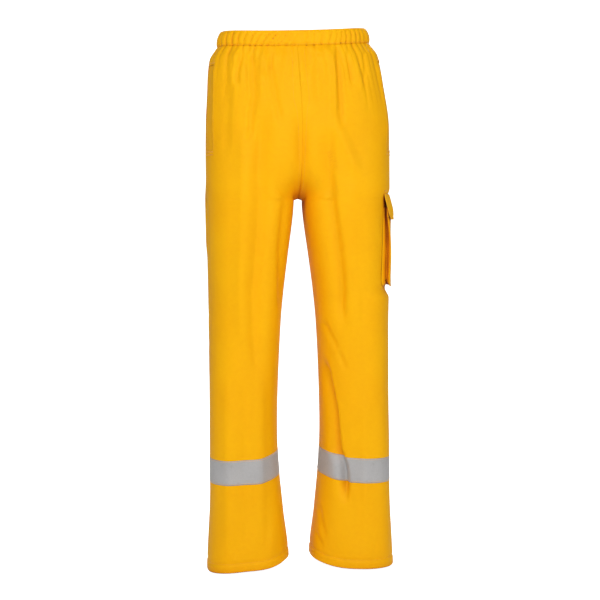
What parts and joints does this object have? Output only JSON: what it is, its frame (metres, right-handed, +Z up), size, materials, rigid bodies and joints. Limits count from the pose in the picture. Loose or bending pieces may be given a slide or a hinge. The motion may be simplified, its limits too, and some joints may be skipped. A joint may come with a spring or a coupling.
{
  "type": "waterproof work trousers",
  "caption": "Elastic-waist waterproof over-trousers with side pockets, a flapped bellows cargo pocket on one thigh and a reflective band round each shin.",
  "frame": {"origin": "middle of the waist opening at its top edge", "axes": "+X towards the wearer's left, +Y towards the wearer's back, +Z up along the legs"},
  "size_m": [0.3875, 0.2563, 1.105],
  "materials": {
    "shell_fabric": "coated woven, slight sheen",
    "pocket_lining": "matt woven",
    "reflective_tape": "satin retroreflective",
    "seam_tape": "matt welded film",
    "elastic": "ribbed knit over rubber",
    "thread": "polyester thread",
    "touch_fastener": "hook and loop pile"
  },
  "bodies": {
    "trousers": {"right_front_panel": "shell_fabric", "left_front_panel": "shell_fabric", "right_back_panel": "shell_fabric", "left_back_panel": "shell_fabric", "waistband_casing": "shell_fabric", "waist_elastic": "elastic", "waistband_stitching": "thread", "centre_seam_tape": "seam_tape", "right_inseam_tape": "seam_tape", "left_inseam_tape": "seam_tape", "right_outseam_tape": "seam_tape", "left_outseam_tape": "seam_tape", "centre_topstitching": "thread", "hem_stitching": "thread", "right_reflective_tape": "reflective_tape", "left_reflective_tape": "reflective_tape", "tape_stitching": "thread", "right_pocket_facing": "shell_fabric", "left_pocket_facing": "shell_fabric", "right_pocket_bag": "pocket_lining", "left_pocket_bag": "pocket_lining", "side_pocket_stitching": "thread", "side_pocket_bartacks": "thread", "cargo_pocket_gusset": "shell_fabric", "cargo_bartacks": "thread"},
    "cargo_pocket": {"cargo_pocket_front": "shell_fabric", "cargo_pocket_stitching": "thread", "cargo_loop_tape": "touch_fastener"},
    "cargo_flap": {"cargo_flap": "shell_fabric", "cargo_flap_lining": "pocket_lining", "cargo_hook_tape": "touch_fastener", "cargo_flap_stitching": "thread"}
  },
  "joints": [
    {"name": "cargo_pocket_fold", "type": "slide", "parent": "trousers", "child": "cargo_pocket", "axis": [1, 0, 0], "range_m": [-0.006, 0], "deforming": ["cargo_pocket_gusset"]},
    {"name": "cargo_flap_hinge", "type": "hinge", "parent": "trousers", "child": "cargo_flap", "pos_m": [0.187, 0, -0.338], "axis": [0, -1, 0], "range_deg": [0, 120]}
  ]
}
